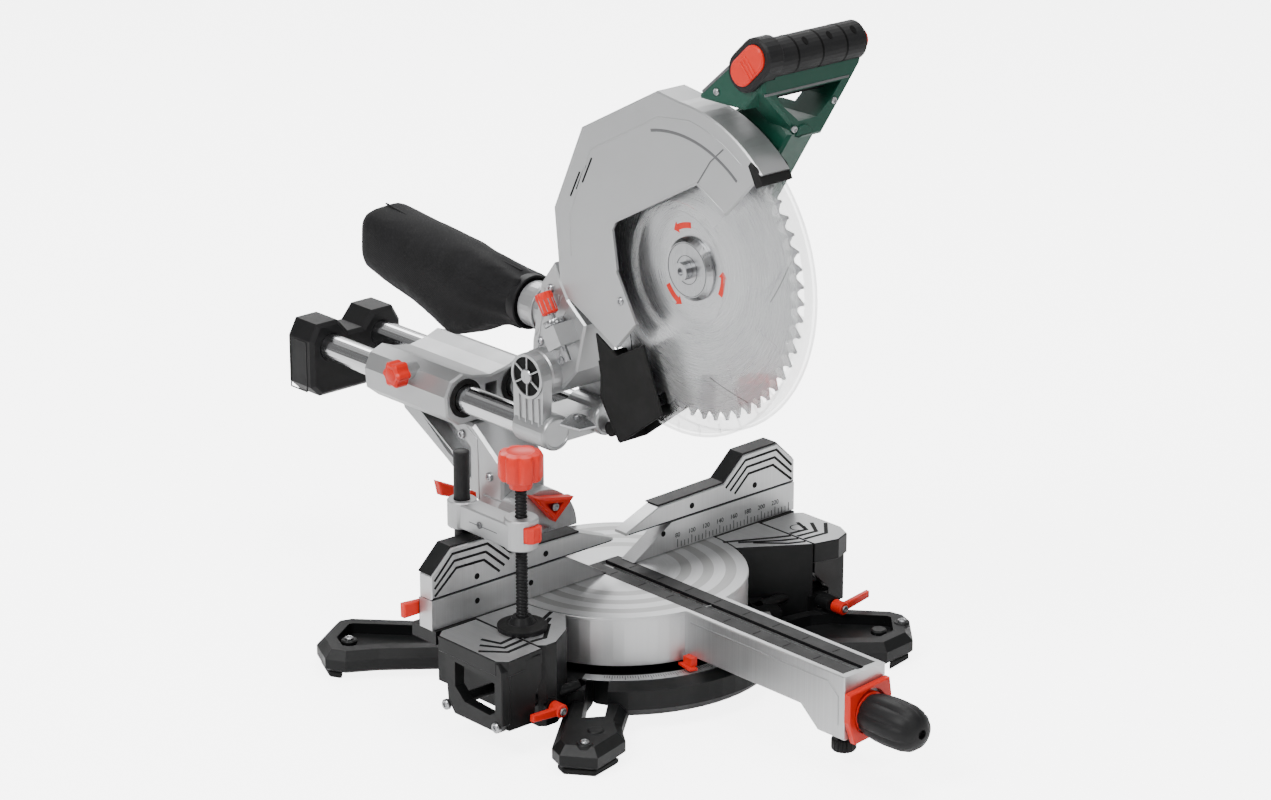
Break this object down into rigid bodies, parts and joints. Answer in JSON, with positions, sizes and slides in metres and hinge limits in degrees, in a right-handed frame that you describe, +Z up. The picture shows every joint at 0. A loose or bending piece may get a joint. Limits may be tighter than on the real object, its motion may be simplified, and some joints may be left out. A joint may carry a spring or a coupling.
{
  "type": "sliding compound mitre saw",
  "caption": "Sliding compound mitre saw with hinged, tilting and sliding cutting head, turntable with kerf slot, split fence, pull-out table ends, hold-down clamp and dust bag.",
  "frame": {"origin": "on the floor, under the middle of the whole saw's box", "axes": "+Z up, +Y away from the operator along the kerf slot, +X to the operator's right"},
  "size_m": [0.53, 0.902, 0.707],
  "materials": {
    "cast_black": "satin black powder coat on a light alloy casting",
    "rubber": "matt black rubber",
    "plastic_black": "matt black plastic",
    "aluminium": "machined aluminium",
    "paint_grey": "silver-grey painted die casting",
    "steel": "ground steel",
    "red": "red moulded plastic",
    "green": "dark green moulded plastic",
    "clear": "clear polycarbonate",
    "fabric": "black woven cloth"
  },
  "bodies": {
    "base": {"base_casting": "cast_black", "foot_pad_front_left": "rubber", "foot_pad_front_right": "rubber", "foot_pad_rear_left": "rubber", "foot_pad_rear_right": "rubber", "pivot_bolt": "steel", "fence_left": "aluminium", "fence_right": "aluminium"},
    "turntable": {"turntable": "aluminium", "kerf_insert_left": "plastic_black", "kerf_insert_right": "plastic_black", "mitre_pointer": "red", "bevel_drum": "aluminium", "bevel_bolt": "steel"},
    "mitre_grip": {"mitre_lock_grip": "plastic_black"},
    "detent": {"detent_lever": "red"},
    "front_foot": {"front_foot": "plastic_black"},
    "extension_l": {"extension_left": "cast_black"},
    "extension_r": {"extension_right": "cast_black"},
    "extension_lock_l": {"extension_lever_left": "red"},
    "extension_lock_r": {"extension_lever_right": "red"},
    "fence_slide_l": {"fence_upper_left": "aluminium"},
    "fence_slide_r": {"fence_upper_right": "aluminium"},
    "fence_lock_l": {"fence_lever_left": "red"},
    "fence_lock_r": {"fence_lever_right": "red"},
    "clamp_post": {"clamp_column": "plastic_black"},
    "clamp_bracket": {"clamp_arm": "paint_grey"},
    "clamp_foot": {"clamp_pad": "plastic_black"},
    "clamp_spindle": {"clamp_screw": "plastic_black", "clamp_knob": "red"},
    "clamp_button": {"clamp_release": "red"},
    "tilt": {"tilt_arm": "paint_grey", "rail_housing": "paint_grey"},
    "latch": {"bevel_latch": "red"},
    "tilt_lock": {"tilt_lock_lever": "red"},
    "slide_lock": {"slide_lock_knob": "red"},
    "rails": {"rail_left": "steel", "rail_right": "steel", "rail_bracket": "paint_grey", "rail_end_cap": "plastic_black", "hinge_pin": "steel"},
    "stop_plate": {"depth_stop_plate": "steel"},
    "roller": {"bump_roller": "rubber"},
    "head": {"head_casting": "paint_grey", "upper_guard": "paint_grey", "chip_deflector": "rubber", "motor_housing": "green", "handle_body": "green", "handle_grip": "plastic_black", "dust_bag": "fabric"},
    "depth_screw": {"depth_stop_screw": "steel"},
    "arbor": {"blade": "steel", "spindle": "steel", "outer_flange": "steel", "blade_bolt": "steel"},
    "motor": {"armature": "steel"},
    "guard": {"lower_guard": "clear"},
    "trigger": {"trigger": "plastic_black"},
    "lock_l": {"lock_button_left": "red"},
    "lock_r": {"lock_button_right": "red"}
  },
  "joints": [
    {"name": "mitre_turn", "type": "hinge", "parent": "base", "child": "turntable", "pos_m": [0, -0.021, 0.105], "axis": [0, 0, 1], "range_deg": [-47, 47]},
    {"name": "mitre_grip_turn", "type": "hinge", "parent": "turntable", "child": "mitre_grip", "pos_m": [0, -0.401, 0.063], "axis": [0, 1, 0], "range_deg": [-90, 0]},
    {"name": "detent_press", "type": "slide", "parent": "turntable", "child": "detent", "axis": [0, 0, -1], "range_m": [0, 0.0035], "stiffness_N_per_m": 800, "springref_m": -0.004},
    {"name": "front_foot_screw", "type": "slide", "parent": "turntable", "child": "front_foot", "axis": [0, 0, -1], "range_m": [0, 0.012]},
    {"name": "extension_left_slide", "type": "slide", "parent": "base", "child": "extension_l", "axis": [-1, 0, 0], "range_m": [0, 0.05]},
    {"name": "extension_right_slide", "type": "slide", "parent": "base", "child": "extension_r", "axis": [1, 0, 0], "range_m": [0, 0.05]},
    {"name": "extension_left_lock", "type": "hinge", "parent": "base", "child": "extension_lock_l", "pos_m": [-0.182, -0.133, 0.039], "axis": [0, 1, 0], "range_deg": [0, 60]},
    {"name": "extension_right_lock", "type": "hinge", "parent": "base", "child": "extension_lock_r", "pos_m": [0.207, -0.133, 0.039], "axis": [0, -1, 0], "range_deg": [0, 60]},
    {"name": "fence_left_slide", "type": "slide", "parent": "base", "child": "fence_slide_l", "axis": [-1, 0, 0], "range_m": [0, 0.05]},
    {"name": "fence_right_slide", "type": "slide", "parent": "base", "child": "fence_slide_r", "axis": [1, 0, 0], "range_m": [0, 0.05]},
    {"name": "fence_left_lock", "type": "hinge", "parent": "base", "child": "fence_lock_l", "pos_m": [-0.225, 0.004, 0.123], "axis": [0, 1, 0], "range_deg": [0, 60]},
    {"name": "fence_right_lock", "type": "hinge", "parent": "base", "child": "fence_lock_r", "pos_m": [0.225, 0.004, 0.123], "axis": [0, -1, 0], "range_deg": [0, 60]},
    {"name": "clamp_swivel", "type": "hinge", "parent": "base", "child": "clamp_post", "pos_m": [-0.183, 0.009, 0.105], "axis": [0, 0, -1], "range_deg": [-23, 40]},
    {"name": "clamp_height", "type": "slide", "parent": "clamp_post", "child": "clamp_bracket", "axis": [0, 0, 1], "range_m": [0, 0.03]},
    {"name": "clamp_travel", "type": "slide", "parent": "clamp_bracket", "child": "clamp_foot", "axis": [0, 0, 1], "range_m": [0, 0.055]},
    {"name": "clamp_screw_turn", "type": "hinge", "parent": "clamp_foot", "child": "clamp_spindle", "pos_m": [-0.177, -0.074, 0.125], "axis": [0, 0, 1], "continuous": true},
    {"name": "clamp_release_press", "type": "slide", "parent": "clamp_bracket", "child": "clamp_button", "axis": [0, 1, 0], "range_m": [0, 0.0035], "stiffness_N_per_m": 500, "springref_m": -0.004},
    {"name": "bevel_tilt", "type": "hinge", "parent": "turntable", "child": "tilt", "pos_m": [0, 0.129, 0.105], "axis": [0, 1, 0], "range_deg": [-33, 2]},
    {"name": "bevel_latch_pull", "type": "slide", "parent": "turntable", "child": "latch", "axis": [0, -1, 0], "range_m": [0, 0.006]},
    {"name": "tilt_lock_turn", "type": "hinge", "parent": "tilt", "child": "tilt_lock", "pos_m": [0, 0.167, 0.105], "axis": [0, 1, 0], "range_deg": [-30, 0]},
    {"name": "slide_lock_turn", "type": "hinge", "parent": "tilt", "child": "slide_lock", "pos_m": [-0.062, 0.244, 0.265], "axis": [1, 0, 0], "range_deg": [-180, 0]},
    {"name": "rail_slide", "type": "slide", "parent": "tilt", "child": "rails", "axis": [0, 1, 0], "range_m": [-0.08, 0.08]},
    {"name": "stop_plate_turn", "type": "hinge", "parent": "rails", "child": "stop_plate", "pos_m": [-0.016, 0.026, 0.259], "axis": [0, 0, 1], "range_deg": [0, 35]},
    {"name": "roller_turn", "type": "hinge", "parent": "rails", "child": "roller", "pos_m": [0.035, 0.025, 0.237], "axis": [1, 0, 0], "continuous": true},
    {"name": "head_chop", "type": "hinge", "parent": "rails", "child": "head", "pos_m": [0, 0.063, 0.303], "axis": [1, 0, 0], "range_deg": [0, 51], "stiffness_Nm_per_rad": 14, "springref_deg": -126.05},
    {"name": "depth_screw_turn", "type": "hinge", "parent": "head", "child": "depth_screw", "pos_m": [-0.037, 0.037, 0.364], "axis": [0, 0.5299, 0.848], "continuous": true},
    {"name": "blade_spin", "type": "hinge", "parent": "head", "child": "arbor", "pos_m": [0, -0.129, 0.452], "axis": [1, 0, 0], "continuous": true},
    {"name": "motor_spin", "type": "hinge", "parent": "head", "child": "motor", "pos_m": [0, -0.091, 0.491], "axis": [1, 0, 0], "continuous": true},
    {"name": "guard_swing", "type": "hinge", "parent": "head", "child": "guard", "pos_m": [0, -0.129, 0.452], "axis": [1, 0, 0], "range_deg": [-132, 0]},
    {"name": "trigger_press", "type": "slide", "parent": "head", "child": "trigger", "axis": [0, 0, 1], "range_m": [0, 0.005], "stiffness_N_per_m": 400, "springref_m": -0.004},
    {"name": "lock_left_press", "type": "slide", "parent": "head", "child": "lock_l", "axis": [1, 0, 0], "range_m": [0, 0.004], "stiffness_N_per_m": 500, "springref_m": -0.004},
    {"name": "lock_right_press", "type": "slide", "parent": "head", "child": "lock_r", "axis": [-1, 0, 0], "range_m": [0, 0.004], "stiffness_N_per_m": 500, "springref_m": -0.004}
  ],
  "couplings": [
    {"joint": "guard_swing", "follows": "head_chop", "ratio": -2.549},
    {"joint": "motor_spin", "follows": "blade_spin", "ratio": -5}
  ]
}
